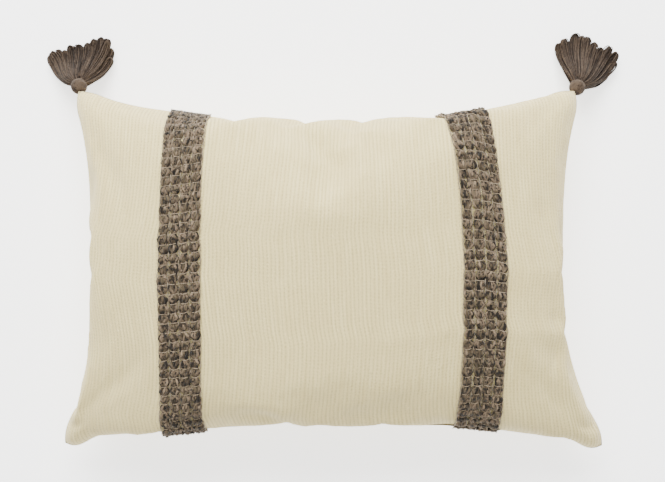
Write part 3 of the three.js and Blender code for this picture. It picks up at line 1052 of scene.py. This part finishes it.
print("laying the stripes")
for sideName, which in stripes.items():
    for index in range(stripe["columns"]):
        name = f"stripe_{sideName}_yarn_{index + 1}"
        strands = yarnColumn(rng, frontSurface, which, index)
        fuzz = {"fuzz": 70000, "fuzzLength": 1.5 * mm, "fuzzRadius": 0.03, "seed": 10 + index}
        piece = yarn(name + "_wool", strands, materials["wool"], **fuzz)
        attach(piece, "pillow")
        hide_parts(name)
    threads = tieThreads(rng, frontSurface, which)
    ties = yarn(f"stripe_{sideName}_ties", threads, materials["tie"], 5, seed=3)
    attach(ties, "pillow")

print("knotting the tassels")
for sideName, which in tassels.items():
    node = f"tassel_{sideName}"
    pivot = nodeMiddle(node + "_loop")
    centre = nodeMiddle(node + "_head") + np.array(which["headShift"]) * mm
    neck = nodeMiddle(node + "_neck_wrap")
    outward = neck - pivot
    knotStart = pivot + (centre - pivot) * 0.12
    knot = woundStrand(knotStart, centre - pivot, tassel["knot"], tint=0.8)
    wrap = woundStrand(neck - outward * 0.11, outward, tassel["wrap"], tint=0.6)
    ring = woundStrand(pivot, xAxis, tassel["ring"])
    parts = {
        "_head": (headStrands(rng, centre, pivot) + [knot], node, 5),
        "_neck_wrap": ([wrap], node, 6),
        "_skirt": (skirtStrands(rng, which, centre), node, 5),
        "_loop": ([ring], node + "_loop", 6),
    }
    for part, (strands, body, sides) in parts.items():
        piece = yarn(f"{node}{part}_yarn", strands, materials["tassel"], sides)
        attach(piece, body)
        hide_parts(node + part)

print("fitting the zip")
for node, look in (
    ("zip_tape_front", "tape"),
    ("zip_tape_back", "tape"),
    ("zip_bottom_stop", "nickel"),
    ("zip_top_stop", "nickel"),
    ("zip_slider", "nickel"),
    ("zip_pull_tab", "nickel"),
):
    bpy.data.objects[node].material_slots[0].material = materials[look]
for half in ("front", "back"):
    node = f"zip_coil_{half}"
    low, high = (np.array(corner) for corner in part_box(node))
    start = np.array([low[0], (low[1] + high[1]) / 2, (low[2] + high[2]) / 2])
    winding = {"radius": 0.48 * mm, "pitch": 1.3 * mm, "thick": 0.3 * mm}
    winding["turns"] = (high[0] - low[0]) / winding["pitch"]
    piece = yarn(node + "_coil", [woundStrand(start, xAxis, winding)], materials["coil"], 5)
    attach(piece, "pillow")
    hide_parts(node)


# across and up are the share of the cover that a layer reaches, and swell that of its thickness.
insert = {
    "casing": {"across": 0.935, "up": 0.905, "swell": 0.93, "lumps": 0.03, "seed": 5, "lowest": 1.8 * mm},
    "fill": {"across": 0.925, "up": 0.89, "swell": 0.88, "lumps": 0.05, "seed": 6, "lowest": 3.2 * mm},
    "clearOfSides": (0.98, 0.945),
}


def innerGrid(layer, side):
    # A surface inside the cover: read further in, and drawn in to its own seam.
    local = np.random.default_rng(layer["seed"])
    rows, columns = 91, 131
    u = np.sin(np.linspace(-math.pi / 2, math.pi / 2, columns))
    v = np.sin(np.linspace(-math.pi / 2, math.pi / 2, rows))

    def read(base):
        r = (v * layer["up"] + 1) / 2 * (base.shape[0] - 1)
        c = (u * layer["across"] + 1) / 2 * (base.shape[1] - 1)
        return resampled(base, r, c)

    front, back = read(frontBase), read(backBase)
    middle = (front + back) / 2
    uu, vv = np.meshgrid(u, v)
    profile = ((1 - np.abs(uu) ** 8) * (1 - np.abs(vv) ** 8)) ** 0.5
    wrinkle = 1 + layer["lumps"] * softNoise(local, uu.shape, (14, 20)) * profile
    here = front if side > 0 else back
    grid = middle + (here - middle) * (profile * layer["swell"] * np.minimum(wrinkle, 1.0))[..., None]
    grid[..., :2] *= insert["clearOfSides"]
    grid[..., 2] = np.maximum(grid[..., 2], layer["lowest"])
    uv = np.stack([(uu + 1) / 2, (vv + 1) / 2], axis=-1)
    return grid, uv


materials["casing"] = clothMaterial("casingCloth", (0.86, 0.86, 0.84), (0.80, 0.80, 0.78))
for key, side in (("front", 1), ("back", -1)):
    grid, uv = innerGrid(insert["casing"], side)
    mesh = meshFrom(f"casing_{key}", grid, gridFaces(*grid.shape[:2], flip=side < 0), uv)
    piece = newObject(f"casing_{key}_cloth", mesh)
    piece.data.materials.append(materials["casing"])
    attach(piece, "pillow")
    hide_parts(f"insert_casing_{key}")

top, _ = innerGrid(insert["fill"], 1)
under, _ = innerGrid(insert["fill"], -1)
points = np.concatenate([top.reshape(-1, 3), under[1:-1, 1:-1].reshape(-1, 3)])
lumps = newObject("fibre_lumps", meshFrom("fibre_lumps", points, sewnFaces(*top.shape[:2])[2]))
materials["fibre"] = tintedYarn(
    "polyesterFibre",
    [(0.9, 0.9, 0.89), (0.95, 0.95, 0.94)],
    (0.8, 0.8, 0.79),
    fleckShare=0.1,
    scale=200,
)
lumps.data.materials.append(materials["fibre"])
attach(lumps, "pillow")
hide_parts("fibre_fill")


studio = {
    "floorHalf": 20.0,
    "floorGlow": 1.8,
    "skyStrength": 0.95,
    "target": (0, 0, 0.05),
    "key": {"place": (-0.2, 1.5, 1.35), "size": 1.4, "power": 115},
    "fill": {"place": (0.3, -0.4, 2.6), "size": 2.0, "power": 22},
    "lens": 55,
    "cameraPlace": (0.004, 0.0284, 0.988),
}


def buildStage():
    material, _, _, shader = newMaterial("studioFloor", 0.9, 0)
    shader.inputs["Base Color"].default_value = (0.95, 0.95, 0.945, 1)
    shader.inputs["Emission Color"].default_value = (1, 1, 1, 1)
    shader.inputs["Emission Strength"].default_value = studio["floorGlow"]
    quad = studio["floorHalf"] * np.array([[-1, -1, 0], [1, -1, 0], [1, 1, 0], [-1, 1, 0]])
    floor = newObject("studio_floor", meshFrom("studio_floor", quad, np.array([[0, 1, 2, 3]])))
    floor.data.materials.append(material)


def areaLight(name, light):
    lamp = bpy.data.lights.new(name, "AREA")
    lamp.energy, lamp.size = light["power"], light["size"]
    holder = newObject(name, lamp)
    holder.location = light["place"]
    aim = Vector(studio["target"]) - Vector(light["place"])
    holder.rotation_euler = aim.to_track_quat("-Z", "Y").to_euler()


def buildLight():
    world = bpy.data.worlds.new("studio")
    bpy.context.scene.world = world
    world.use_nodes = True
    sky = world.node_tree.nodes["Background"]
    sky.inputs[0].default_value = (1, 0.99, 0.97, 1)
    sky.inputs[1].default_value = studio["skyStrength"]
    areaLight("keyLight", studio["key"])
    areaLight("fillLight", studio["fill"])


def buildCamera():
    camera = bpy.data.cameras.new("camera")
    camera.lens = studio["lens"]
    holder = newObject("camera", camera)
    holder.location = studio["cameraPlace"]
    bpy.context.scene.camera = holder


buildStage()
buildLight()
buildCamera()
